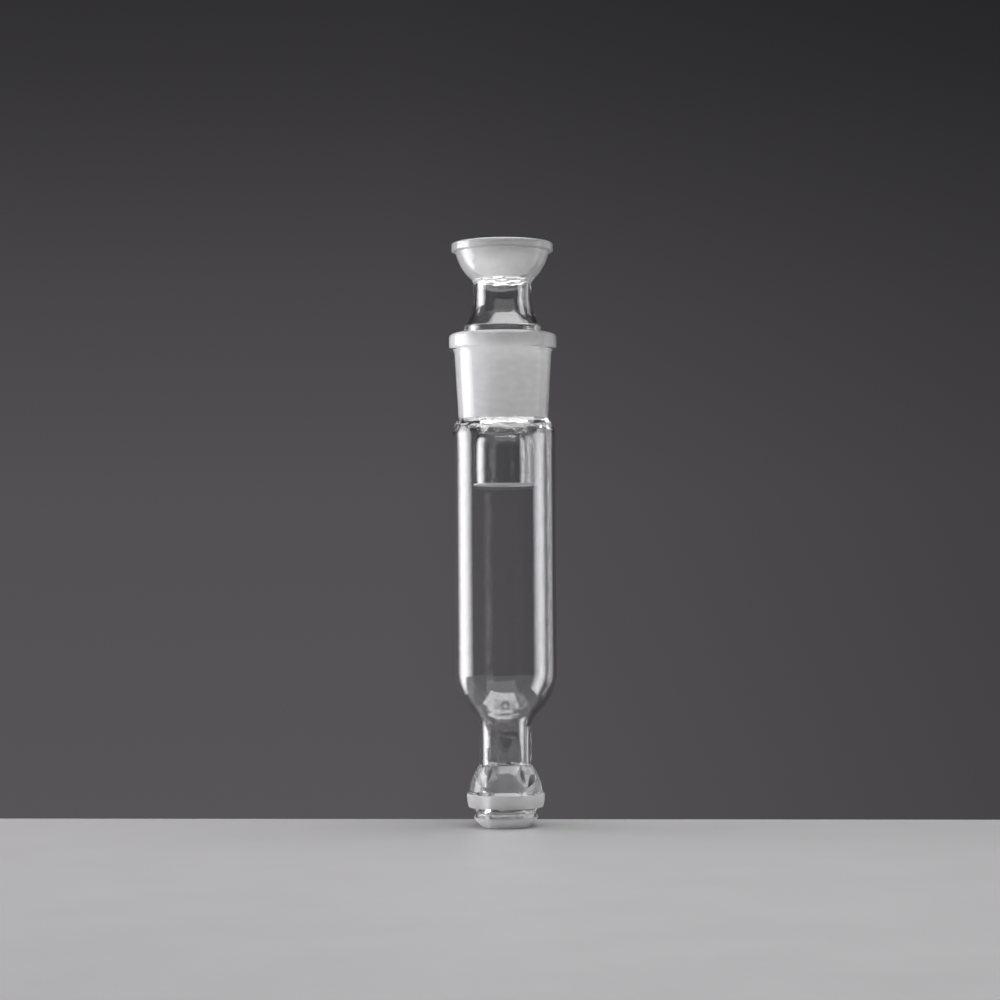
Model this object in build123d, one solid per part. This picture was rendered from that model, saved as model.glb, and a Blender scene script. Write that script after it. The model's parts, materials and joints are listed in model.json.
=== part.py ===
from build123d import *
from math import atan2, degrees, sqrt
import os

# Absorption tube in clear borosilicate glass with a lift-off head.
# Every piece is a body of revolution about the Z axis. The origin is the centre
# of the ball joint's end ring, which is what the tube stands on, and +Z is up.
# All lengths are millimetres, and a name that ends in _R is a radius.
#
# A glassblower welds blanks end to end, so each node is one blank, cut at the
# weld ring. Four blanks make the vessel and four make the head.

# ---- spherical joint 29/15, ball and cup ----
SPHERE_R = 14.2875           # 28.575 mm ball and cup
SPHERE_BORE_R = 7.5          # 15 mm way through both halves
LIP_BEVEL = 0.4              # bevel on the lips of the bores
BALL_CENTRE_Z = 11.55
BELT_TOP_Z = 12.3            # upper edge of the ball's ground belt
BULB_FOOT_R = 13.35          # clear bulb just above the ground belt
BULB_FOOT_Z = 13.4
BULB_MIDDLE = (12.25, 18.0)
GROOVE_TOP_Z = 7.4           # groove for a 22 x 2.6 mm O-ring
GROOVE_FOOT_Z = 3.7
GROOVE_FLOOR_R = 10.95
GROOVE_FLOOR_Z = 5.4
GROOVE_UPPER_FLANK = (11.3, 6.25)
GROOVE_LOWER_FLANK = (11.05, 4.7)

# ---- vessel ----
TUBE_WALL = 1.4
NECK_R = 9.4
NECK_BOTTOM_Z = 22.8         # weld ring between the ball and the lower neck
NECK_TOP_Z = 35.3            # weld ring between the lower neck and the body
BALL_BORE_TOP_Z = 20.6       # the ball's bore widens to the neck above this
BODY_R = 19.0
BODY_FOOT_Z = 57.0           # the straight tube starts here
BODY_FOOT_R = 20.5           # convex radius of the body's foot
BODY_SHOULDER_Z = 143.6      # the straight tube ends here
SOCKET_WELD_Z = 148.4        # weld ring between the body and the socket
SHOULDER_TOP = (16.5, 149.6)

# ---- ground joint 29/32, taper 1 in 10 on the diameter ----
TAPER_TOP_R = 14.6
TAPER_SLOPE = 0.05           # radius gained for each millimetre of height
GROUND_CLEARANCE = 0.05      # radial, between the cone and the socket
SOCKET_TOP_Z = 180.9
SOCKET_UPPER_R = 17.85       # outside of the socket just under its rolled rim
RIM_R = 19.85
RIM_BOTTOM_Z = 175.05
RIM_ROOT_Z = 174.05          # the outside starts to widen into the rim here
RIM_CORNER_R = 1.5
CONE_BOTTOM_Z = 152.2        # the ground surface starts here
CONE_GROUND_TOP_Z = 181.3
CONE_TOP = (14.5, 182.0)     # weld ring between the cone and the flared neck
CONE_WALL = 2.1

# ---- head ----
DRIP_R = 11.2
DRIP_WALL = 1.5
DRIP_BELLY = 0.15            # the drip tube is very slightly barrel shaped
DRIP_BOTTOM_Z = 124.9
DRIP_SHOULDER_Z = 139.4
DRIP_TOP_R = 9.3
DRIP_TOP_Z = 144.9           # weld ring between the drip tube and the cone
HEAD_NECK_R = 10.6
HEAD_NECK_WALL = 1.5
FLARE_TOP_Z = 195.0
FLARE_FOOT = (14.3, 183.4)
HEAD_NECK_TOP_Z = 200.0      # weld ring between the neck and the cup
CUP_CURL = (10.95, 200.25)   # outside of the weld, under the bowl
CUP_BOWL_FOOT_R = 11.15
CUP_BOWL_R = 17.55           # outside of the cup's bowl
CUP_CENTRE_Z = 214.5         # centre of the bowl and of the ground sphere
CUP_BORE_BOTTOM_Z = 201.2    # the cup's bore widens to the neck below this
CUP_BOWL_TOP_Z = 211.0
CUP_RIM_R = 18.75
CUP_RIM_BOTTOM_Z = 211.2
CUP_RIM_CORNER_R = 0.6
CUP_TOP_Z = 214.4


def sphere_r(radius, centre_z, z):
    """Radius at height z of a sphere centred on the axis."""
    return sqrt(radius**2 - (z - centre_z) ** 2)


def sphere_low_z(radius, centre_z, r):
    """Height at which the lower half of that sphere has radius r."""
    return centre_z - sqrt(radius**2 - r**2)


def socket_r(z):
    """Radius of the socket's ground surface at height z."""
    return TAPER_TOP_R - TAPER_SLOPE * (SOCKET_TOP_Z - z)


def cone_r(z):
    """Radius of the cone's ground surface at height z."""
    return socket_r(z) - GROUND_CLEARANCE


def sphere_arc(radius, centre_z, z_from, z_to):
    """Arc of a sphere's outline between two heights."""
    heights = [z_from, (z_from + z_to) / 2, z_to]
    return ThreePointArc(*[(sphere_r(radius, centre_z, z), z) for z in heights])


def corner(r, z, radius, first_angle):
    """Quarter-round corner with its centre at (r, z)."""
    return CenterArc((r, z), radius, first_angle, 90)


def tangent_arc_r(start, end, z):
    """Radius at height z of the arc that leaves start upright and ends at end."""
    narrowing = start[0] - end[0]
    rise = end[1] - start[1]
    arc_r = (narrowing**2 + rise**2) / (2 * narrowing)
    return start[0] - arc_r + sqrt(arc_r**2 - (z - start[1]) ** 2)


def revolved(*edges):
    """Closed solid of revolution from a ring of edges in the (r, z) plane."""
    outline = make_face(Curve() + list(edges))
    return revolve(Plane.XZ * outline, Axis.Z)


SHOULDER_FOOT = (BODY_R, BODY_SHOULDER_Z)
SOCKET_WELD = (tangent_arc_r(SHOULDER_FOOT, SHOULDER_TOP, SOCKET_WELD_Z), SOCKET_WELD_Z)
SOCKET_WELD_INSIDE = (socket_r(SOCKET_WELD_Z) + LIP_BEVEL, SOCKET_WELD_Z)


def ball_joint():
    """Ball with its ground belt, empty O-ring groove and clear bulb."""
    foot = (sphere_r(SPHERE_R, BALL_CENTRE_Z, 0), 0)
    lip = (foot[0] - LIP_BEVEL, 0)
    groove_foot = (sphere_r(SPHERE_R, BALL_CENTRE_Z, GROOVE_FOOT_Z), GROOVE_FOOT_Z)
    groove_top = (sphere_r(SPHERE_R, BALL_CENTRE_Z, GROOVE_TOP_Z), GROOVE_TOP_Z)
    groove_floor = (GROOVE_FLOOR_R, GROOVE_FLOOR_Z)
    belt_top = (sphere_r(SPHERE_R, BALL_CENTRE_Z, BELT_TOP_Z), BELT_TOP_Z)
    bulb_foot = (BULB_FOOT_R, BULB_FOOT_Z)
    weld_outside = (NECK_R, NECK_BOTTOM_Z)
    weld_inside = (NECK_R - TUBE_WALL, NECK_BOTTOM_Z)
    bore_top = (SPHERE_BORE_R, BALL_BORE_TOP_Z)
    bore_bottom = (SPHERE_BORE_R, LIP_BEVEL)
    return revolved(
        Line(lip, foot),
        sphere_arc(SPHERE_R, BALL_CENTRE_Z, 0, GROOVE_FOOT_Z),
        Line(groove_foot, GROOVE_LOWER_FLANK),
        ThreePointArc(GROOVE_LOWER_FLANK, groove_floor, GROOVE_UPPER_FLANK),
        Line(GROOVE_UPPER_FLANK, groove_top),
        sphere_arc(SPHERE_R, BALL_CENTRE_Z, GROOVE_TOP_Z, BELT_TOP_Z),
        Line(belt_top, bulb_foot),
        ThreePointArc(bulb_foot, BULB_MIDDLE, weld_outside),
        Line(weld_outside, weld_inside),
        Line(weld_inside, bore_top),
        Line(bore_top, bore_bottom),
        Line(bore_bottom, lip),
    )


def lower_neck():
    """Plain tube between the ball and the body."""
    inner_r = NECK_R - TUBE_WALL
    corners = [
        (NECK_R, NECK_BOTTOM_Z),
        (NECK_R, NECK_TOP_Z),
        (inner_r, NECK_TOP_Z),
        (inner_r, NECK_BOTTOM_Z),
    ]
    return revolved(Polyline(*corners, close=True))


def body_tube():
    """Wide tube, drawn in at its foot and rounded over at its shoulder."""
    # The foot is a convex arc and a concave arc that touch on the line of centres.
    convex = (BODY_R - BODY_FOOT_R, BODY_FOOT_Z)
    drop = BODY_FOOT_Z - NECK_TOP_Z
    narrowing = BODY_R - NECK_R
    throat_r = (drop**2 - (2 * BODY_FOOT_R - narrowing) * narrowing) / (2 * narrowing)
    concave = (NECK_R + throat_r, NECK_TOP_Z)
    turn = degrees(atan2(drop, concave[0] - convex[0]))
    inner_r = BODY_R - TUBE_WALL
    return revolved(
        CenterArc(concave, throat_r, 180 - turn, turn),
        CenterArc(convex, BODY_FOOT_R, -turn, turn),
        Line((BODY_R, BODY_FOOT_Z), SHOULDER_FOOT),
        TangentArc(SHOULDER_FOOT, SOCKET_WELD, tangent=(0, 1)),
        Line(SOCKET_WELD, SOCKET_WELD_INSIDE),
        TangentArc((inner_r, BODY_SHOULDER_Z), SOCKET_WELD_INSIDE, tangent=(0, 1)),
        Line((inner_r, BODY_SHOULDER_Z), (inner_r, BODY_FOOT_Z)),
        CenterArc(convex, BODY_FOOT_R - TUBE_WALL, -turn, turn),
        CenterArc(concave, throat_r + TUBE_WALL, 180 - turn, turn),
        Line((NECK_R - TUBE_WALL, NECK_TOP_Z), (NECK_R, NECK_TOP_Z)),
    )


def socket_joint():
    """Ground socket with a rolled rim, standing on the top of the shoulder."""
    arc_middle_z = (SOCKET_WELD_Z + SHOULDER_TOP[1]) / 2
    arc_middle = (tangent_arc_r(SHOULDER_FOOT, SHOULDER_TOP, arc_middle_z), arc_middle_z)
    corner_r = RIM_R - RIM_CORNER_R
    low_corner_z = RIM_BOTTOM_Z + RIM_CORNER_R
    high_corner_z = SOCKET_TOP_Z - RIM_CORNER_R
    rim_root = (SOCKET_UPPER_R, RIM_ROOT_Z)
    mouth = (TAPER_TOP_R + LIP_BEVEL, SOCKET_TOP_Z)
    ground_top = (socket_r(SOCKET_TOP_Z - LIP_BEVEL), SOCKET_TOP_Z - LIP_BEVEL)
    ground_bottom = (socket_r(SOCKET_WELD_Z + LIP_BEVEL), SOCKET_WELD_Z + LIP_BEVEL)
    return revolved(
        ThreePointArc(SOCKET_WELD, arc_middle, SHOULDER_TOP),
        Line(SHOULDER_TOP, rim_root),
        Line(rim_root, (corner_r, RIM_BOTTOM_Z)),
        corner(corner_r, low_corner_z, RIM_CORNER_R, -90),
        Line((RIM_R, low_corner_z), (RIM_R, high_corner_z)),
        corner(corner_r, high_corner_z, RIM_CORNER_R, 0),
        Line((corner_r, SOCKET_TOP_Z), mouth),
        Line(mouth, ground_top),
        Line(ground_top, ground_bottom),
        Line(ground_bottom, SOCKET_WELD_INSIDE),
        Line(SOCKET_WELD_INSIDE, SOCKET_WELD),
    )


def drip_tube():
    """Short open tube under the cone, with a fire-polished mouth."""
    bead_r = DRIP_WALL / 2
    bead_z = DRIP_BOTTOM_Z + bead_r
    middle = (DRIP_R + DRIP_BELLY, (bead_z + DRIP_SHOULDER_Z) / 2)
    middle_inside = (middle[0] - DRIP_WALL, middle[1])
    inner_r = DRIP_R - DRIP_WALL
    top_inside = (DRIP_TOP_R - DRIP_WALL, DRIP_TOP_Z)
    return revolved(
        CenterArc((DRIP_R - bead_r, bead_z), bead_r, 180, 180),
        ThreePointArc((DRIP_R, bead_z), middle, (DRIP_R, DRIP_SHOULDER_Z)),
        TangentArc((DRIP_R, DRIP_SHOULDER_Z), (DRIP_TOP_R, DRIP_TOP_Z), tangent=(0, 1)),
        Line((DRIP_TOP_R, DRIP_TOP_Z), top_inside),
        TangentArc((inner_r, DRIP_SHOULDER_Z), top_inside, tangent=(0, 1)),
        ThreePointArc((inner_r, DRIP_SHOULDER_Z), middle_inside, (inner_r, bead_z)),
    )


def cone_joint():
    """Ground cone that sits in the socket."""
    weld_outside = (DRIP_TOP_R, DRIP_TOP_Z)
    weld_inside = (DRIP_TOP_R - DRIP_WALL, DRIP_TOP_Z)
    ground_bottom = (cone_r(CONE_BOTTOM_Z), CONE_BOTTOM_Z)
    ground_top = (cone_r(CONE_GROUND_TOP_Z), CONE_GROUND_TOP_Z)
    inside_top = (CONE_TOP[0] - CONE_WALL, CONE_TOP[1])
    inside_bottom = (ground_bottom[0] - CONE_WALL, CONE_BOTTOM_Z + CONE_WALL / 2)
    return revolved(
        TangentArc(weld_outside, ground_bottom, tangent=(0, 1)),
        Line(ground_bottom, ground_top),
        Line(ground_top, CONE_TOP),
        Line(CONE_TOP, inside_top),
        Line(inside_top, inside_bottom),
        TangentArc(weld_inside, inside_bottom, tangent=(0, 1)),
        Line(weld_inside, weld_outside),
    )


def head_neck():
    """Flare from the cone's top into the neck under the cup."""
    inner_r = HEAD_NECK_R - HEAD_NECK_WALL
    cone_inside = (CONE_TOP[0] - CONE_WALL, CONE_TOP[1])
    foot_inside = (cone_inside[0], FLARE_FOOT[1])
    return revolved(
        Line(CONE_TOP, FLARE_FOOT),
        TangentArc((HEAD_NECK_R, FLARE_TOP_Z), FLARE_FOOT, tangent=(0, -1)),
        Line((HEAD_NECK_R, FLARE_TOP_Z), (HEAD_NECK_R, HEAD_NECK_TOP_Z)),
        Line((HEAD_NECK_R, HEAD_NECK_TOP_Z), (inner_r, HEAD_NECK_TOP_Z)),
        Line((inner_r, HEAD_NECK_TOP_Z), (inner_r, FLARE_TOP_Z)),
        TangentArc((inner_r, FLARE_TOP_Z), foot_inside, tangent=(0, -1)),
        Line(foot_inside, cone_inside),
        Line(cone_inside, CONE_TOP),
    )


def cup_joint():
    """Spherical cup, ground inside, with a flat-topped rim band."""
    corner_r = CUP_RIM_R - CUP_RIM_CORNER_R
    low_corner_z = CUP_RIM_BOTTOM_Z + CUP_RIM_CORNER_R
    high_corner_z = CUP_TOP_Z - CUP_RIM_CORNER_R
    bowl_foot_z = sphere_low_z(CUP_BOWL_R, CUP_CENTRE_Z, CUP_BOWL_FOOT_R)
    bowl_foot = (CUP_BOWL_FOOT_R, bowl_foot_z)
    bowl_top = (sphere_r(CUP_BOWL_R, CUP_CENTRE_Z, CUP_BOWL_TOP_Z), CUP_BOWL_TOP_Z)
    ground_top_z = CUP_TOP_Z - LIP_BEVEL
    ground_top = (sphere_r(SPHERE_R, CUP_CENTRE_Z, ground_top_z), ground_top_z)
    mouth = (ground_top[0] + LIP_BEVEL, CUP_TOP_Z)
    bore_top_z = sphere_low_z(SPHERE_R, CUP_CENTRE_Z, SPHERE_BORE_R)
    weld_outside = (HEAD_NECK_R, HEAD_NECK_TOP_Z)
    weld_inside = (HEAD_NECK_R - HEAD_NECK_WALL, HEAD_NECK_TOP_Z)
    return revolved(
        ThreePointArc(weld_outside, CUP_CURL, bowl_foot),
        sphere_arc(CUP_BOWL_R, CUP_CENTRE_Z, bowl_foot_z, CUP_BOWL_TOP_Z),
        Line(bowl_top, (corner_r, CUP_RIM_BOTTOM_Z)),
        corner(corner_r, low_corner_z, CUP_RIM_CORNER_R, -90),
        Line((CUP_RIM_R, low_corner_z), (CUP_RIM_R, high_corner_z)),
        corner(corner_r, high_corner_z, CUP_RIM_CORNER_R, 0),
        Line((corner_r, CUP_TOP_Z), mouth),
        Line(mouth, ground_top),
        sphere_arc(SPHERE_R, CUP_CENTRE_Z, bore_top_z, ground_top_z),
        Line((SPHERE_BORE_R, bore_top_z), (SPHERE_BORE_R, CUP_BORE_BOTTOM_Z)),
        Line((SPHERE_BORE_R, CUP_BORE_BOTTOM_Z), weld_inside),
        Line(weld_inside, weld_outside),
    )


NODES = {
    "ball_joint": ball_joint,
    "lower_neck": lower_neck,
    "body_tube": body_tube,
    "socket_joint": socket_joint,
    "drip_tube": drip_tube,
    "cone_joint": cone_joint,
    "head_neck": head_neck,
    "cup_joint": cup_joint,
}

os.makedirs("parts", exist_ok=True)
for node, make in NODES.items():
    export_step(make(), f"parts/{node}.step")
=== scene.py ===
import json
from math import atan2, cos, exp, hypot, pi, radians, sin, sqrt

import bmesh
import bpy
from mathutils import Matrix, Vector, noise

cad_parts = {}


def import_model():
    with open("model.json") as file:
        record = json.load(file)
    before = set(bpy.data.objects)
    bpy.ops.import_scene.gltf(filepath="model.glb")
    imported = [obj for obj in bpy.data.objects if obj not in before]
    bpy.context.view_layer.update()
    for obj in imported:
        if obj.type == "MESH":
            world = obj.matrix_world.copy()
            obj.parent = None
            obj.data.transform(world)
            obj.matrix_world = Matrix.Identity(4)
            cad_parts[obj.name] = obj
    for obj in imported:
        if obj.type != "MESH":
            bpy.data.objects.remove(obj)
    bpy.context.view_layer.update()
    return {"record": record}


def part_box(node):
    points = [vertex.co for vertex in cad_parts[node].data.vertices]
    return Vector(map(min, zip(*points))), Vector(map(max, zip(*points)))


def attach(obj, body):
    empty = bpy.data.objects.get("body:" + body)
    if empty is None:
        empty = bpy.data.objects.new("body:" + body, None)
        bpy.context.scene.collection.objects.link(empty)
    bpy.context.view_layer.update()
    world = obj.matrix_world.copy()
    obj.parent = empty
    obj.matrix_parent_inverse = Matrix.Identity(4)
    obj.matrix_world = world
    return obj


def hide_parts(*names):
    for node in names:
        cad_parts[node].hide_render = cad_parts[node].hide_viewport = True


# The looks of the absorption tube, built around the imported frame: two pieces of clear
# borosilicate glass, each made of welded blanks, on a pale slab in soft studio light.
# Outlines are drawn in millimetres as (r, z) and turned about Z, and the unevenness from the
# flame is in millimetres too. Materials, slab, lights and camera are in metres.

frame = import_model()
MM = 0.001


def low_mm(node):
    """Lowest height of a CAD node, in millimetres."""
    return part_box(node)[0].z / MM


def high_mm(node):
    """Highest height of a CAD node, in millimetres."""
    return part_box(node)[1].z / MM


def radius_mm(node):
    """Largest radius of a CAD node, in millimetres."""
    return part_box(node)[1].x / MM


def mount_mm(name):
    """Height of one of the record's mounts, in millimetres to four places."""
    places = {mount["name"]: mount["pos_m"] for mount in frame["record"]["mounts"]}
    return round(places[name][2] / MM, 4)


# ---- sizes in millimetres, from the frame where it holds them ----
SPHERE_R = radius_mm("ball_joint")
SPHERE_BORE_R = 7.5      # the joints' bore, in the ball and in the cup
LIP = 0.4                # bevel at the end of a ground face
BALL_CENTRE_Z = mount_mm("ball_joint")
BELT_TOP_Z = 12.3
BULB_FOOT = (13.35, 13.4)
BULB_MIDDLE = (12.25, 18.0)
GROOVE_TOP_Z = 7.4
GROOVE_FOOT_Z = 3.7
GROOVE_FLOOR = (10.95, 5.4)
GROOVE_UPPER_FLANK = (11.3, 6.25)
GROOVE_LOWER_FLANK = (11.05, 4.7)
BALL_BORE_TOP_Z = 20.6

TUBE_WALL = 1.4          # of the lower neck and the body
NECK_R = radius_mm("lower_neck")
NECK_BOTTOM_Z = low_mm("lower_neck")
NECK_TOP_Z = high_mm("lower_neck")
BODY_R = radius_mm("body_tube")
BODY_FOOT_Z = 57.0
BODY_FOOT_R = 20.5       # rounding where the body draws in to the neck
BODY_SHOULDER_Z = 143.6
SOCKET_WELD_Z = high_mm("body_tube")
SHOULDER_TOP = (16.5, 149.6)

TAPER_TOP_R = 14.6
TAPER_SLOPE = 0.05       # 1 in 10 on the diameter
CLEARANCE = 0.05         # between the cone and the socket
SOCKET_TOP_Z = high_mm("socket_joint")
SOCKET_UPPER_R = 17.85
RIM_R = radius_mm("socket_joint")
RIM_BOTTOM_Z = 175.05
RIM_ROOT_Z = 174.05
RIM_CORNER_R = 1.5
CONE_BOTTOM_Z = 152.2
CONE_GROUND_TOP_Z = 181.3
CONE_TOP = (14.5, high_mm("cone_joint"))
CONE_WALL = 2.1

DRIP_R = 11.2
DRIP_WALL = 1.5
DRIP_BELLY = radius_mm("drip_tube") - DRIP_R
DRIP_BOTTOM_Z = low_mm("drip_tube")
DRIP_SHOULDER_Z = 139.4
DRIP_TOP = (9.3, high_mm("drip_tube"))
HEAD_NECK_R = 10.6
HEAD_NECK_WALL = 1.5
HEAD_NECK_TOP_Z = high_mm("head_neck")
FLARE_TOP_Z = 195.0
FLARE_FOOT = (14.3, 183.4)
CUP_CURL = (10.95, 200.25)
CUP_BOWL_FOOT_R = 11.15
CUP_BOWL_R = 17.55
CUP_CENTRE_Z = mount_mm("cup_joint")
CUP_BORE_BOTTOM_Z = 201.2
CUP_BOWL_TOP_Z = 211.0
CUP_RIM_R = radius_mm("cup_joint")
CUP_RIM_BOTTOM_Z = 211.2
CUP_RIM_CORNER_R = 0.6
CUP_TOP_Z = high_mm("cup_joint")

TURNS = 224              # faces round each ring
ARC_STEP = radians(2.5)  # turn between points of an outline's arc
COARSE = 3.0             # spacing of points on a straight run
FINE = 0.6               # the same where the run was worked in the flame
SHARP_EDGE = radians(16)  # a fold steeper than this stays a crisp edge


# ---- outlines ----
def sphere_r(radius, centre_z, z):
    """Distance from the axis of a sphere's surface at height z."""
    return sqrt(radius**2 - (z - centre_z) ** 2)


def sphere_low_z(radius, centre_z, r):
    """Height of a sphere's underside at distance r from the axis."""
    return centre_z - sqrt(radius**2 - r**2)


def socket_r(z):
    """Radius of the socket's ground taper at height z."""
    return TAPER_TOP_R - TAPER_SLOPE * (SOCKET_TOP_Z - z)


def cone_r(z):
    """Radius of the cone's ground taper at height z."""
    return socket_r(z) - CLEARANCE


def straight(a, b, step=COARSE):
    """Points from a to b, about a step apart."""
    dr, dz = b[0] - a[0], b[1] - a[1]
    count = max(1, round(hypot(dr, dz) / step))
    return [(a[0] + dr * i / count, a[1] + dz * i / count) for i in range(count + 1)]


def arc(centre, a, b):
    """Points along the shorter arc from a to b about a centre."""
    start = atan2(a[1] - centre[1], a[0] - centre[0])
    turn = atan2(b[1] - centre[1], b[0] - centre[0]) - start
    turn = (turn + pi) % (2 * pi) - pi
    count = max(2, round(abs(turn) / ARC_STEP))
    r0 = hypot(a[0] - centre[0], a[1] - centre[1])
    r1 = hypot(b[0] - centre[0], b[1] - centre[1])
    points = []
    for i in range(count + 1):
        t = i / count
        radius = r0 + (r1 - r0) * t
        angle = start + turn * t
        points.append((centre[0] + radius * cos(angle), centre[1] + radius * sin(angle)))
    return points


def arc_through(a, m, b):
    """Points along the arc from a to b through m, which is less than half a turn."""
    ax, ay = a[0] - m[0], a[1] - m[1]
    bx, by = b[0] - m[0], b[1] - m[1]
    d = 2 * (ax * by - ay * bx)
    ux = (by * (ax * ax + ay * ay) - ay * (bx * bx + by * by)) / d
    uy = (ax * (bx * bx + by * by) - bx * (ax * ax + ay * ay)) / d
    centre = (m[0] + ux, m[1] + uy)
    return arc(centre, a, b)


def arc_from_vertical(a, b):
    """Points along the arc that leaves a vertically and ends at b."""
    dr, dz = b[0] - a[0], b[1] - a[1]
    radius = (dr * dr + dz * dz) / (2 * dr)
    return arc((a[0] + radius, a[1]), a, b)


def sphere_arc(radius, centre_z, z_from, z_to):
    """Points along a sphere centred on the axis, from one height to another."""
    a = (sphere_r(radius, centre_z, z_from), z_from)
    b = (sphere_r(radius, centre_z, z_to), z_to)
    return arc((0, centre_z), a, b)


def tangent_arc_r(start, end, z):
    """Radius at height z of the arc that leaves start upright and ends at end."""
    narrowing = start[0] - end[0]
    arc_r = (narrowing**2 + (end[1] - start[1]) ** 2) / (2 * narrowing)
    return start[0] - arc_r + sqrt(arc_r**2 - (z - start[1]) ** 2)


def backwards(points):
    return list(reversed(points))


def rim_band(radius, bottom_z, top_z, corner_r):
    """Runs up the outside of a rim band with rounded corners."""
    inner_r = radius - corner_r
    low_z = bottom_z + corner_r
    high_z = top_z - corner_r
    return [
        ("clear", arc((inner_r, low_z), (inner_r, bottom_z), (radius, low_z))),
        ("clear", straight((radius, low_z), (radius, high_z))),
        ("clear", arc((inner_r, high_z), (radius, high_z), (inner_r, top_z))),
    ]


SHOULDER_FOOT = (BODY_R, BODY_SHOULDER_Z)
SOCKET_WELD = (tangent_arc_r(SHOULDER_FOOT, SHOULDER_TOP, SOCKET_WELD_Z), SOCKET_WELD_Z)
SOCKET_WELD_INSIDE = (socket_r(SOCKET_WELD_Z) + LIP, SOCKET_WELD_Z)


# Each outline is a closed ring of runs, up the outside and down the inside. A run is
# its finish and its points: "clear" is fire polished, "ground" and "white" are matt,
# and "weld" is a face inside the glass, where the piece's next blank goes on.
def ball_outline():
    foot = (sphere_r(SPHERE_R, BALL_CENTRE_Z, 0), 0)
    lip = (foot[0] - LIP, 0)
    groove_foot = (sphere_r(SPHERE_R, BALL_CENTRE_Z, GROOVE_FOOT_Z), GROOVE_FOOT_Z)
    groove_top = (sphere_r(SPHERE_R, BALL_CENTRE_Z, GROOVE_TOP_Z), GROOVE_TOP_Z)
    belt_top = (sphere_r(SPHERE_R, BALL_CENTRE_Z, BELT_TOP_Z), BELT_TOP_Z)
    weld_outside = (NECK_R, NECK_BOTTOM_Z)
    weld_inside = (NECK_R - TUBE_WALL, NECK_BOTTOM_Z)
    bore_top = (SPHERE_BORE_R, BALL_BORE_TOP_Z)
    bore_bottom = (SPHERE_BORE_R, LIP)
    return [
        # The ball's foot below the groove takes the whiter ground finish, brighter than the ground
        # belt above it: painted light, for light carried down through the glass to its lip.
        ("white", straight(lip, foot)),
        ("white", sphere_arc(SPHERE_R, BALL_CENTRE_Z, 0, GROOVE_FOOT_Z)),
        ("clear", straight(groove_foot, GROOVE_LOWER_FLANK)),
        ("clear", arc_through(GROOVE_LOWER_FLANK, GROOVE_FLOOR, GROOVE_UPPER_FLANK)),
        ("clear", straight(GROOVE_UPPER_FLANK, groove_top)),
        ("ground", sphere_arc(SPHERE_R, BALL_CENTRE_Z, GROOVE_TOP_Z, BELT_TOP_Z)),
        ("clear", straight(belt_top, BULB_FOOT)),
        ("clear", arc_through(BULB_FOOT, BULB_MIDDLE, weld_outside)),
        ("weld", straight(weld_outside, weld_inside)),
        ("clear", straight(weld_inside, bore_top)),
        ("clear", straight(bore_top, bore_bottom)),
        ("ground", straight(bore_bottom, lip)),
    ]


def lower_neck_outline():
    inner_r = NECK_R - TUBE_WALL
    return [
        ("clear", straight((NECK_R, NECK_BOTTOM_Z), (NECK_R, NECK_TOP_Z), FINE)),
        ("weld", straight((NECK_R, NECK_TOP_Z), (inner_r, NECK_TOP_Z))),
        ("clear", straight((inner_r, NECK_TOP_Z), (inner_r, NECK_BOTTOM_Z), FINE)),
        ("weld", straight((inner_r, NECK_BOTTOM_Z), (NECK_R, NECK_BOTTOM_Z))),
    ]


def body_outline():
    convex = (BODY_R - BODY_FOOT_R, BODY_FOOT_Z)
    drop = BODY_FOOT_Z - NECK_TOP_Z
    narrowing = BODY_R - NECK_R
    throat_r = (drop**2 - (2 * BODY_FOOT_R - narrowing) * narrowing) / (2 * narrowing)
    concave = (NECK_R + throat_r, NECK_TOP_Z)
    reach = hypot(concave[0] - convex[0], drop)
    toward = ((concave[0] - convex[0]) / reach, -drop / reach)

    def touch(radius):
        return (convex[0] + toward[0] * radius, convex[1] + toward[1] * radius)

    neck_inner_r = NECK_R - TUBE_WALL
    inner_r = BODY_R - TUBE_WALL
    outer_touch, inner_touch = touch(BODY_FOOT_R), touch(BODY_FOOT_R - TUBE_WALL)
    return [
        ("clear", arc(concave, (NECK_R, NECK_TOP_Z), outer_touch)),
        ("clear", arc(convex, outer_touch, (BODY_R, BODY_FOOT_Z))),
        ("clear", straight((BODY_R, BODY_FOOT_Z), (BODY_R, BODY_SHOULDER_Z))),
        ("clear", arc_from_vertical(SHOULDER_FOOT, SOCKET_WELD)),
        ("weld", straight(SOCKET_WELD, SOCKET_WELD_INSIDE)),
        ("clear", backwards(arc_from_vertical((inner_r, BODY_SHOULDER_Z), SOCKET_WELD_INSIDE))),
        ("clear", straight((inner_r, BODY_SHOULDER_Z), (inner_r, BODY_FOOT_Z))),
        ("clear", arc(convex, (inner_r, BODY_FOOT_Z), inner_touch)),
        ("clear", arc(concave, inner_touch, (neck_inner_r, NECK_TOP_Z))),
        ("weld", straight((neck_inner_r, NECK_TOP_Z), (NECK_R, NECK_TOP_Z))),
    ]


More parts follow.
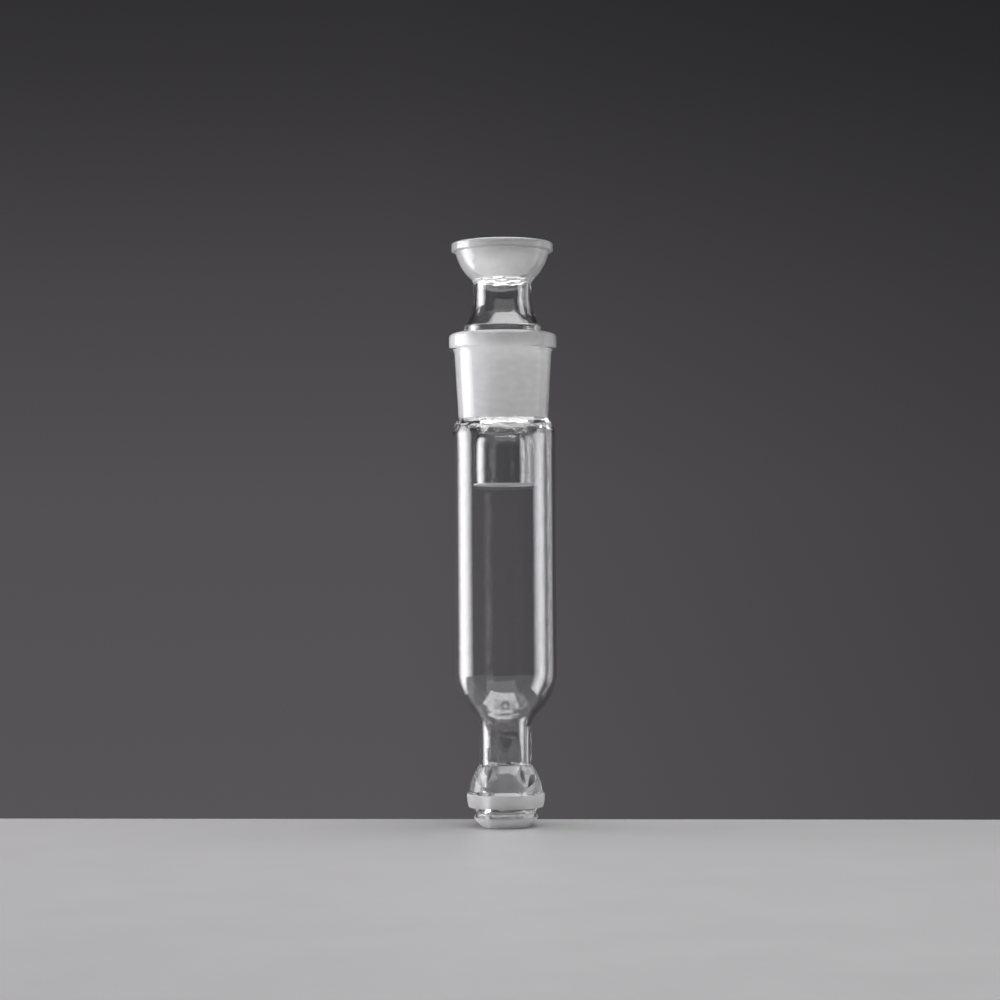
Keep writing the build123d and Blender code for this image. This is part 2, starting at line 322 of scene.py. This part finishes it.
def socket_outline():
    corner_r = RIM_R - RIM_CORNER_R
    rim_root = (SOCKET_UPPER_R, RIM_ROOT_Z)
    mouth = (TAPER_TOP_R + LIP, SOCKET_TOP_Z)
    ground_top = (socket_r(SOCKET_TOP_Z - LIP), SOCKET_TOP_Z - LIP)
    ground_bottom = (socket_r(SOCKET_WELD_Z + LIP), SOCKET_WELD_Z + LIP)
    arc_middle_z = (SOCKET_WELD_Z + SHOULDER_TOP[1]) / 2
    arc_middle = (tangent_arc_r(SHOULDER_FOOT, SHOULDER_TOP, arc_middle_z), arc_middle_z)
    return [
        ("clear", arc_through(SOCKET_WELD, arc_middle, SHOULDER_TOP)),
        ("clear", straight(SHOULDER_TOP, rim_root, FINE)),
        ("clear", straight(rim_root, (corner_r, RIM_BOTTOM_Z))),
        *rim_band(RIM_R, RIM_BOTTOM_Z, SOCKET_TOP_Z, RIM_CORNER_R),
        ("clear", straight((corner_r, SOCKET_TOP_Z), mouth)),
        ("white", straight(mouth, ground_top)),
        ("white", straight(ground_top, ground_bottom)),
        ("clear", straight(ground_bottom, SOCKET_WELD_INSIDE)),
        ("weld", straight(SOCKET_WELD_INSIDE, SOCKET_WELD)),
    ]


def drip_outline():
    bead_r = DRIP_WALL / 2
    bead_z = DRIP_BOTTOM_Z + bead_r
    inner_r = DRIP_R - DRIP_WALL
    middle = (DRIP_R + DRIP_BELLY, (bead_z + DRIP_SHOULDER_Z) / 2)
    middle_inside = (middle[0] - DRIP_WALL, middle[1])
    top_inside = (DRIP_TOP[0] - DRIP_WALL, DRIP_TOP[1])
    bead_bottom = (DRIP_R - bead_r, DRIP_BOTTOM_Z)
    bead_centre = (DRIP_R - bead_r, bead_z)
    return [
        ("white", arc(bead_centre, (inner_r, bead_z), bead_bottom)),
        ("white", arc(bead_centre, bead_bottom, (DRIP_R, bead_z))),
        ("clear", arc_through((DRIP_R, bead_z), middle, (DRIP_R, DRIP_SHOULDER_Z))),
        ("clear", arc_from_vertical((DRIP_R, DRIP_SHOULDER_Z), DRIP_TOP)),
        ("weld", straight(DRIP_TOP, top_inside)),
        ("clear", backwards(arc_from_vertical((inner_r, DRIP_SHOULDER_Z), top_inside))),
        ("clear", arc_through((inner_r, DRIP_SHOULDER_Z), middle_inside, (inner_r, bead_z))),
    ]


def cone_outline():
    weld_inside = (DRIP_TOP[0] - DRIP_WALL, DRIP_TOP[1])
    ground_bottom = (cone_r(CONE_BOTTOM_Z), CONE_BOTTOM_Z)
    ground_top = (cone_r(CONE_GROUND_TOP_Z), CONE_GROUND_TOP_Z)
    inside_top = (CONE_TOP[0] - CONE_WALL, CONE_TOP[1])
    inside_bottom = (ground_bottom[0] - CONE_WALL, CONE_BOTTOM_Z + CONE_WALL / 2)
    return [
        ("clear", arc_from_vertical(DRIP_TOP, ground_bottom)),
        ("white", straight(ground_bottom, ground_top)),
        ("clear", straight(ground_top, CONE_TOP)),
        ("weld", straight(CONE_TOP, inside_top)),
        ("clear", straight(inside_top, inside_bottom)),
        ("clear", backwards(arc_from_vertical(weld_inside, inside_bottom))),
        ("weld", straight(weld_inside, DRIP_TOP)),
    ]


def head_neck_outline():
    inner_r = HEAD_NECK_R - HEAD_NECK_WALL
    cone_inside = (CONE_TOP[0] - CONE_WALL, CONE_TOP[1])
    foot_inside = (cone_inside[0], FLARE_FOOT[1])
    return [
        ("clear", straight(CONE_TOP, FLARE_FOOT, FINE)),
        ("clear", backwards(arc_from_vertical((HEAD_NECK_R, FLARE_TOP_Z), FLARE_FOOT))),
        ("clear", straight((HEAD_NECK_R, FLARE_TOP_Z), (HEAD_NECK_R, HEAD_NECK_TOP_Z), FINE)),
        ("weld", straight((HEAD_NECK_R, HEAD_NECK_TOP_Z), (inner_r, HEAD_NECK_TOP_Z))),
        ("clear", straight((inner_r, HEAD_NECK_TOP_Z), (inner_r, FLARE_TOP_Z), FINE)),
        ("clear", arc_from_vertical((inner_r, FLARE_TOP_Z), foot_inside)),
        ("clear", straight(foot_inside, cone_inside, FINE)),
        ("weld", straight(cone_inside, CONE_TOP)),
    ]


def cup_outline():
    corner_r = CUP_RIM_R - CUP_RIM_CORNER_R
    bowl_foot_z = sphere_low_z(CUP_BOWL_R, CUP_CENTRE_Z, CUP_BOWL_FOOT_R)
    bowl_foot = (CUP_BOWL_FOOT_R, bowl_foot_z)
    bowl_top = (sphere_r(CUP_BOWL_R, CUP_CENTRE_Z, CUP_BOWL_TOP_Z), CUP_BOWL_TOP_Z)
    ground_top_z = CUP_TOP_Z - LIP
    ground_top = (sphere_r(SPHERE_R, CUP_CENTRE_Z, ground_top_z), ground_top_z)
    mouth = (ground_top[0] + LIP, CUP_TOP_Z)
    bore_top_z = sphere_low_z(SPHERE_R, CUP_CENTRE_Z, SPHERE_BORE_R)
    weld_inside = (HEAD_NECK_R - HEAD_NECK_WALL, HEAD_NECK_TOP_Z)
    weld_outside = (HEAD_NECK_R, HEAD_NECK_TOP_Z)
    return [
        ("clear", arc_through(weld_outside, CUP_CURL, bowl_foot)),
        ("clear", sphere_arc(CUP_BOWL_R, CUP_CENTRE_Z, bowl_foot_z, CUP_BOWL_TOP_Z)),
        ("clear", straight(bowl_top, (corner_r, CUP_RIM_BOTTOM_Z))),
        *rim_band(CUP_RIM_R, CUP_RIM_BOTTOM_Z, CUP_TOP_Z, CUP_RIM_CORNER_R),
        # The cup's ground faces take the darker, more see-through ground finish: painted shade,
        # darker than the socket's ground taper because less light falls on them.
        ("ground", straight((corner_r, CUP_TOP_Z), mouth)),
        ("ground", straight(mouth, ground_top)),
        ("ground", backwards(sphere_arc(SPHERE_R, CUP_CENTRE_Z, bore_top_z, ground_top_z))),
        ("clear", straight((SPHERE_BORE_R, bore_top_z), (SPHERE_BORE_R, CUP_BORE_BOTTOM_Z))),
        ("clear", straight((SPHERE_BORE_R, CUP_BORE_BOTTOM_Z), weld_inside)),
        ("weld", straight(weld_inside, weld_outside)),
    ]


# ---- materials ----
GLASS_IOR = 1.473
NOISE_ENDS = (0.35, 0.65)  # noise values at which a colour range begins and ends


def new_material(name):
    """Empty node material with its nodes, links and output."""
    material = bpy.data.materials.new(name)
    material.use_nodes = True
    nodes = material.node_tree.nodes
    nodes.clear()
    output = nodes.new("ShaderNodeOutputMaterial")
    return material, nodes, material.node_tree.links, output


def grain(nodes, links, scale, stretch=1.0, detail=2.0):
    """Noise over the object, in features per metre. A stretch over 1 draws it out along Z."""
    where = nodes.new("ShaderNodeTexCoord")
    mapping = nodes.new("ShaderNodeMapping")
    mapping.inputs["Scale"].default_value = (1.0, 1.0, 1.0 / stretch)
    noise_node = nodes.new("ShaderNodeTexNoise")
    noise_node.inputs["Scale"].default_value = scale
    noise_node.inputs["Detail"].default_value = detail
    links.new(where.outputs["Object"], mapping.inputs["Vector"])
    links.new(mapping.outputs["Vector"], noise_node.inputs["Vector"])
    return noise_node.outputs["Fac"]


def grey(level):
    return (level, level, level)


def between(nodes, links, fac, low, high):
    """Colour between low and high, by a noise value."""
    ramp = nodes.new("ShaderNodeValToRGB")
    for element, place, colour in zip(ramp.color_ramp.elements, NOISE_ENDS, (low, high)):
        element.position = place
        element.color = (*colour, 1.0)
    links.new(fac, ramp.inputs["Fac"])
    return ramp.outputs["Color"]


def bump(nodes, links, height, depth, under=None):
    """Surface relief of the given depth in metres, laid over another one."""
    relief = nodes.new("ShaderNodeBump")
    relief.inputs["Strength"].default_value = 1.0
    relief.inputs["Distance"].default_value = depth
    links.new(height, relief.inputs["Height"])
    if under:
        links.new(under, relief.inputs["Normal"])
    return relief.outputs["Normal"]


def clear_glass():
    """Fire-polished borosilicate glass with faint draw lines along the tube."""
    material, nodes, links, output = new_material("clear_glass")
    shader = nodes.new("ShaderNodeBsdfPrincipled")
    shader.inputs["IOR"].default_value = GLASS_IOR
    shader.inputs["Transmission Weight"].default_value = 1.0
    waves = grain(nodes, links, scale=55, stretch=3.0)
    draw_lines = grain(nodes, links, scale=420, stretch=120.0)
    clouds = grain(nodes, links, scale=90, stretch=2.0)
    wipe_marks = grain(nodes, links, scale=160, stretch=2.0, detail=4.0)
    wavy = bump(nodes, links, waves, depth=2e-5)
    relief = bump(nodes, links, draw_lines, depth=1e-5, under=wavy)
    tint = between(nodes, links, clouds, (0.976, 0.98, 0.98), (0.996, 0.998, 1.0))
    haze = between(nodes, links, wipe_marks, grey(0.0), grey(0.018))
    links.new(tint, shader.inputs["Base Color"])
    links.new(haze, shader.inputs["Roughness"])
    links.new(relief, shader.inputs["Normal"])
    links.new(shader.outputs["BSDF"], output.inputs["Surface"])
    return material


def ground_glass(name, white, transmission):
    """Finely ground, matt white joint surface. White is its mean brightness, from 0 to 1."""
    material, nodes, links, output = new_material(name)
    shader = nodes.new("ShaderNodeBsdfPrincipled")
    shader.inputs["IOR"].default_value = GLASS_IOR
    shader.inputs["Transmission Weight"].default_value = transmission
    grinding_rings = grain(nodes, links, scale=700, stretch=0.12, detail=3.0)
    clouds = grain(nodes, links, scale=260, stretch=0.5, detail=4.0)
    grit = grain(nodes, links, scale=3000, detail=3.0)
    tint = between(nodes, links, clouds, grey(white - 0.05), grey(white + 0.03))
    matt = between(nodes, links, grinding_rings, grey(0.5), grey(0.62))
    relief = bump(nodes, links, grit, depth=1.5e-5)
    links.new(tint, shader.inputs["Base Color"])
    links.new(matt, shader.inputs["Roughness"])
    links.new(relief, shader.inputs["Normal"])
    links.new(shader.outputs["BSDF"], output.inputs["Surface"])
    return material


def weld_face():
    """Face inside the glass, where light goes straight on into the next blank."""
    material, nodes, links, output = new_material("weld_face")
    shader = nodes.new("ShaderNodeBsdfTransparent")
    links.new(shader.outputs["BSDF"], output.inputs["Surface"])
    return material


FINISHES = {
    "clear": clear_glass(),
    # Darker, more see-through ground copy: the ball belt's finish, and painted shade on the cup's
    # ground faces.
    "ground": ground_glass("ground_sphere_partly_painted_shade", white=0.83, transmission=0.57),
    # Whiter ground copy: the own finish of the tapers and the drip tube's lip, and painted light
    # on the ball's foot.
    "white": ground_glass("ground_white_partly_painted_light", white=0.97, transmission=0.25),
    "weld": weld_face(),
}

SHOULDER_WORK_Z = 147.2
HEAD_NECK_WORK_Z = 192.0
CUP_FOOT_WORK_Z = 200.6
# Rings that were worked in the flame: height, half width and unevenness in millimetres.
FLAME_WORK = [
    (NECK_BOTTOM_Z, 1.6, 0.14),
    (NECK_TOP_Z, 2.6, 0.06),
    (SHOULDER_WORK_Z, 2.6, 0.12),
    (SOCKET_WELD_Z, 1.2, 0.10),
    (DRIP_TOP[1], 1.8, 0.10),
    (CONE_TOP[1], 1.2, 0.10),
    (HEAD_NECK_WORK_Z, 7.0, 0.07),
    (CUP_FOOT_WORK_Z, 1.5, 0.26),
]
WORK_SIZE = (3.2, 3.2, 1.7)  # size of the dents along X, Y and Z, in millimetres
WORK_SEED = 6
noise.seed_set(WORK_SEED)


# ---- pieces ----
def uneven(point):
    """How far the flame moved a point of the glass, in millimetres."""
    depth = sum(size * exp(-(((point.z - z) / width) ** 2)) for z, width, size in FLAME_WORK)
    where = Vector([part / size for part, size in zip(point, WORK_SIZE)])
    return noise.noise_vector(where) * depth


def turned(name, outline):
    """Closed mesh of revolution about Z from an outline's runs, uneven where flame worked."""
    mesh = bpy.data.meshes.new(name)
    finishes = list(FINISHES)
    for finish in finishes:
        mesh.materials.append(FINISHES[finish])
    rings = []
    indices = []
    for finish, points in outline:
        for point in points[:-1]:
            rings.append(point)
            indices.append(finishes.index(finish))
    bm = bmesh.new()
    columns = []
    for r, z in rings:
        ring = []
        for k in range(TURNS):
            angle = 2 * pi * k / TURNS
            ring.append(bm.verts.new((r * cos(angle) * MM, r * sin(angle) * MM, z * MM)))
        columns.append(ring)
    for i, ring in enumerate(columns):
        above = columns[(i + 1) % len(columns)]
        for k in range(TURNS):
            after = (k + 1) % TURNS
            face = bm.faces.new((ring[k], ring[after], above[after], above[k]))
            face.material_index = indices[i]
            face.smooth = True
    bm.normal_update()
    for edge in bm.edges:
        if edge.calc_face_angle(0) > SHARP_EDGE:
            edge.smooth = False
    ground_to_size = {finishes.index("ground"), finishes.index("white")}
    for i, ring in enumerate(columns):
        if not ground_to_size & {indices[i], indices[i - 1]}:
            for vert in ring:
                vert.co += uneven(vert.co / MM) * MM
    bm.to_mesh(mesh)
    bm.free()
    piece = bpy.data.objects.new(name, mesh)
    bpy.context.scene.collection.objects.link(piece)
    return piece


PIECES = {
    "ball_joint": ("vessel", "ground_glass", ball_outline),
    "lower_neck": ("vessel", "clear_glass", lower_neck_outline),
    "body_tube": ("vessel", "clear_glass", body_outline),
    "socket_joint": ("vessel", "ground_glass", socket_outline),
    "drip_tube": ("head", "clear_glass", drip_outline),
    "cone_joint": ("head", "ground_glass", cone_outline),
    "head_neck": ("head", "clear_glass", head_neck_outline),
    "cup_joint": ("head", "ground_glass", cup_outline),
}

for node, (body, slot, outline) in PIECES.items():
    piece = turned(node + "_glass", outline())
    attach(piece, body)
    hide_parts(node)


# ---- stage ----
SLAB_BACK = 0.0256  # how far the slab reaches behind the object's axis
SLAB_DEPTH = 0.395
SLAB_WIDTH = 0.8
SLAB_THICKNESS = 0.03
SLAB_YAW = radians(-4.5)

# Brightness of the backdrop by each part of the direction, which runs from -1 to 1.
HEIGHT_FADE = [
    (-1.0, 0.05),
    (-0.45, 0.075),
    (-0.14, 0.094),
    (0.03, 0.083),
    (0.11, 0.064),
    (0.155, 0.050),
    (0.2, 0.036),
    (0.24, 0.028),
    (0.5, 0.035),
    (1.0, 0.05),
]
SIDE_FADE = [(-0.4, 1.0), (-0.04, 1.0), (0.04, 0.87), (0.2, 0.65), (0.4, 0.65)]
DEPTH_FADE = [(-0.5, 0.4), (0.3, 1.0)]
BACKDROP_TINT = (1.03, 0.98, 1.06)

HIDING_FACES = 3.0  # so many glass faces in line hide a softbox behind them
LIGHTS_FACE = Vector((0, 0, 0.11))
# Strips of the left softbox, which is brightest in its middle: azimuth, width, radiance.
LEFT_STRIPS = [
    (-83, 0.078, 3.4),
    (-90, 0.076, 6.2),
    (-101, 0.162, 7.8),
    (-112.5, 0.087, 5.6),
    (-120, 0.076, 2.8),
]
LEFT_ELEVATION = -1
LEFT_DISTANCE = 0.62
LEFT_HEIGHT = 0.71
LEFT_COLOUR = (0.99, 0.98, 1.02)
OVERHEAD_PLACE = (0.12, -0.14, 0.75)  # it faces straight down

CAMERA_PLACE = (-0.0016, -0.883, 0.094)
CAMERA_TILT = radians(1.67)
CAMERA_ROLL = radians(0.4)
CAMERA_LENS = 86.4
CAMERA_SENSOR = 36


def slab():
    """Pale matt slab that the tube stands on, near its back edge."""
    material, nodes, links, output = new_material("pale_slab")
    shader = nodes.new("ShaderNodeBsdfPrincipled")
    shader.inputs["Roughness"].default_value = 0.5
    clouds = grain(nodes, links, scale=30, detail=4.0)
    pores = grain(nodes, links, scale=900, detail=3.0)
    tint = between(nodes, links, clouds, (0.27, 0.265, 0.27), (0.28, 0.275, 0.28))
    links.new(tint, shader.inputs["Base Color"])
    links.new(bump(nodes, links, pores, depth=2e-5), shader.inputs["Normal"])
    links.new(shader.outputs["BSDF"], output.inputs["Surface"])
    mesh = bpy.data.meshes.new("pale_slab")
    bm = bmesh.new()
    bmesh.ops.create_cube(bm, size=1)
    bmesh.ops.scale(bm, vec=(SLAB_WIDTH, SLAB_DEPTH, SLAB_THICKNESS), verts=bm.verts)
    middle = (0, SLAB_BACK - SLAB_DEPTH / 2, -SLAB_THICKNESS / 2)
    bmesh.ops.translate(bm, vec=middle, verts=bm.verts)
    bm.to_mesh(mesh)
    bm.free()
    mesh.materials.append(material)
    floor = bpy.data.objects.new("pale_slab", mesh)
    floor.rotation_euler = (0, 0, SLAB_YAW)
    bpy.context.scene.collection.objects.link(floor)


def hide_behind_glass(light):
    """Lets a softbox light the glass and mirror in it, but not show through a whole tube."""
    light.use_nodes = True
    nodes, links = light.node_tree.nodes, light.node_tree.links
    path = nodes.new("ShaderNodeLightPath")
    near_side = nodes.new("ShaderNodeMath")
    near_side.operation = "LESS_THAN"
    near_side.inputs[1].default_value = HIDING_FACES
    mirrored = nodes.new("ShaderNodeMath")
    mirrored.operation = "ADD"
    strength = nodes.new("ShaderNodeMath")
    strength.operation = "ADD"
    strength.use_clamp = True
    links.new(path.outputs["Transmission Depth"], near_side.inputs[0])
    links.new(path.outputs["Glossy Depth"], mirrored.inputs[0])
    links.new(path.outputs["Diffuse Depth"], mirrored.inputs[1])
    links.new(near_side.outputs["Value"], strength.inputs[0])
    links.new(mirrored.outputs["Value"], strength.inputs[1])
    links.new(strength.outputs["Value"], nodes["Emission"].inputs["Strength"])


def softbox(name, width, height, radiance):
    """Area light that lies at the origin and faces down, until it is placed."""
    light = bpy.data.lights.new(name, "AREA")
    hide_behind_glass(light)
    light.shape = "RECTANGLE"
    light.size = width
    light.size_y = height
    light.energy = radiance * pi * width * height
    lamp = bpy.data.objects.new(name, light)
    lamp.visible_camera = False
    bpy.context.scene.collection.objects.link(lamp)
    return lamp


def aim(lamp, azimuth, elevation, distance):
    """Places a light so that it faces the object. Azimuth 0 is the camera's side, 90 its right."""
    a, e = radians(azimuth), radians(elevation)
    away = Vector((sin(a) * cos(e), -cos(a) * cos(e), sin(e)))
    lamp.location = LIGHTS_FACE + away * distance
    lamp.rotation_euler = away.to_track_quat("Z", "Y").to_euler()


def fade(nodes, links, direction, levels):
    """Brightness by a part of the direction, which runs from -1 to 1."""
    place = nodes.new("ShaderNodeMapRange")
    place.inputs["From Min"].default_value = -1.0
    ramp = nodes.new("ShaderNodeValToRGB")
    while len(ramp.color_ramp.elements) < len(levels):
        ramp.color_ramp.elements.new(0.5)
    for element, (at, level) in zip(ramp.color_ramp.elements, levels):
        element.position = (at + 1) / 2
        element.color = (*grey(level), 1.0)
    links.new(direction, place.inputs["Value"])
    links.new(place.outputs["Result"], ramp.inputs["Fac"])
    return ramp.outputs["Color"]


def times(nodes, links, a, b):
    """Product of two colours."""
    product = nodes.new("ShaderNodeVectorMath")
    product.operation = "MULTIPLY"
    links.new(a, product.inputs[0])
    links.new(b, product.inputs[1])
    return product.outputs["Vector"]


def world():
    """Grey studio backdrop, brightest about the horizon, darker on the right and behind."""
    made = bpy.data.worlds.new("studio")
    bpy.context.scene.world = made
    made.use_nodes = True
    nodes, links = made.node_tree.nodes, made.node_tree.links
    nodes.clear()
    output = nodes.new("ShaderNodeOutputWorld")
    background = nodes.new("ShaderNodeBackground")
    where = nodes.new("ShaderNodeTexCoord")
    split = nodes.new("ShaderNodeSeparateXYZ")
    links.new(where.outputs["Generated"], split.inputs[0])
    height = fade(nodes, links, split.outputs["Z"], HEIGHT_FADE)
    side = fade(nodes, links, split.outputs["X"], SIDE_FADE)
    depth = fade(nodes, links, split.outputs["Y"], DEPTH_FADE)
    level = times(nodes, links, times(nodes, links, height, side), depth)
    tint = nodes.new("ShaderNodeRGB")
    tint.outputs[0].default_value = (*BACKDROP_TINT, 1.0)
    links.new(times(nodes, links, level, tint.outputs[0]), background.inputs["Color"])
    links.new(background.outputs["Background"], output.inputs["Surface"])


def softboxes():
    """A large softbox of strips on the left, weaker ones on the right, in front and overhead."""
    for index, (azimuth, width, radiance) in enumerate(LEFT_STRIPS):
        strip = softbox(f"left_softbox_{index}", width, LEFT_HEIGHT, radiance)
        strip.data.color = LEFT_COLOUR
        aim(strip, azimuth, LEFT_ELEVATION, LEFT_DISTANCE)
    right = softbox("right_fill", width=0.8, height=0.7, radiance=0.55)
    aim(right, azimuth=114, elevation=5, distance=0.9)
    front = softbox("front_fill", width=1.5, height=1.0, radiance=0.9)
    aim(front, azimuth=12, elevation=50, distance=1.0)
    overhead = softbox("top_softbox", width=0.84, height=0.76, radiance=5.3)
    overhead.location = OVERHEAD_PLACE


def camera():
    """Camera near the height of the object's middle, tilted slightly up."""
    data = bpy.data.cameras.new("camera")
    data.sensor_width = CAMERA_SENSOR
    data.lens = CAMERA_LENS
    made = bpy.data.objects.new("camera", data)
    made.location = CAMERA_PLACE
    made.rotation_euler = (radians(90) + CAMERA_TILT, CAMERA_ROLL, 0)
    bpy.context.scene.collection.objects.link(made)
    bpy.context.scene.camera = made


def light_paths(scene):
    """Bounces enough for light to get through two nested tubes."""
    scene.view_settings.view_transform = "Standard"
    scene.cycles.max_bounces = 24
    scene.cycles.transmission_bounces = 24
    scene.cycles.glossy_bounces = 12
    scene.cycles.transparent_max_bounces = 32
    scene.cycles.use_denoising = True


slab()
world()
softboxes()
camera()
light_paths(bpy.context.scene)
